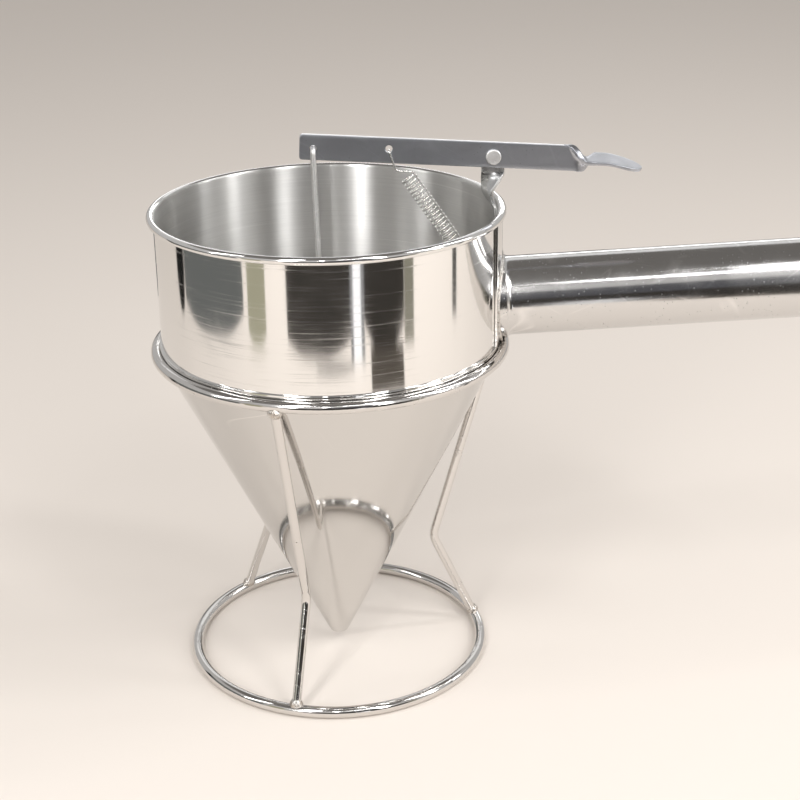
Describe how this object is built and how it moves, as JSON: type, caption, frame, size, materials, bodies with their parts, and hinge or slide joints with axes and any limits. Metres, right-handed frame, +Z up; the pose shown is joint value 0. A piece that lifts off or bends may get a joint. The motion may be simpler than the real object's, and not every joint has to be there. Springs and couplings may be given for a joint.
{
  "type": "batter dispenser",
  "caption": "Open metal funnel with a side handle and a thumb lever that lifts a stopper rod off its outlet, standing in a wire stand.",
  "frame": {"origin": "on the funnel's vertical axis, at the height of the surface that the base ring stands on", "axes": "+Z up along the funnel; +X away from the funnel along the handle; +Y completes the right-handed frame"},
  "size_m": [0.3039, 0.1538, 0.2389],
  "materials": {
    "ring_wire": "polished wire",
    "weld": "matt weld bead",
    "bowl": "mirror-polished outside, brushed round inside",
    "cone": "mirror-polished sheet",
    "handle": "satin, worn",
    "lever": "dull mill finish",
    "rivet": "satin",
    "rod": "drawn wire",
    "spring": "drawn spring wire"
  },
  "bodies": {
    "stand": {"top_ring": "ring_wire", "base_ring": "ring_wire", "leg_front": "ring_wire", "leg_right": "ring_wire", "leg_back": "ring_wire", "ring_welds": "weld", "foot_welds": "weld"},
    "funnel": {"bowl_band": "bowl", "cone": "cone", "handle_plate": "bowl", "handle_tube": "handle", "handle_weld": "weld", "handle_end_cap": "handle", "pivot_bracket": "lever", "bracket_welds": "weld", "pivot_rivet": "rivet", "pivot_washer": "rivet", "return_spring": "spring"},
    "lever": {"lever": "lever"},
    "stopper": {"stopper_rod": "rod", "stopper_plug": "rod"}
  },
  "joints": [
    {"name": "funnel_lift", "type": "slide", "parent": "stand", "child": "funnel", "axis": [0, 0, 1], "range_m": [0, 0.15]},
    {"name": "lever_pivot", "type": "hinge", "parent": "funnel", "child": "lever", "pos_m": [0.0691, 0, 0.2286], "axis": [0, 1, 0], "range_deg": [0, 20], "stiffness_Nm_per_rad": 0.3, "springref_deg": -11.46, "deforming": ["return_spring"]},
    {"name": "rod_hang", "type": "hinge", "parent": "lever", "child": "stopper", "pos_m": [-0.00478, 0, 0.2328], "axis": [0, 1, 0], "range_deg": [-21, 1]}
  ],
  "couplings": [
    {"joint": "rod_hang", "follows": "lever_pivot", "ratio": -1}
  ]
}
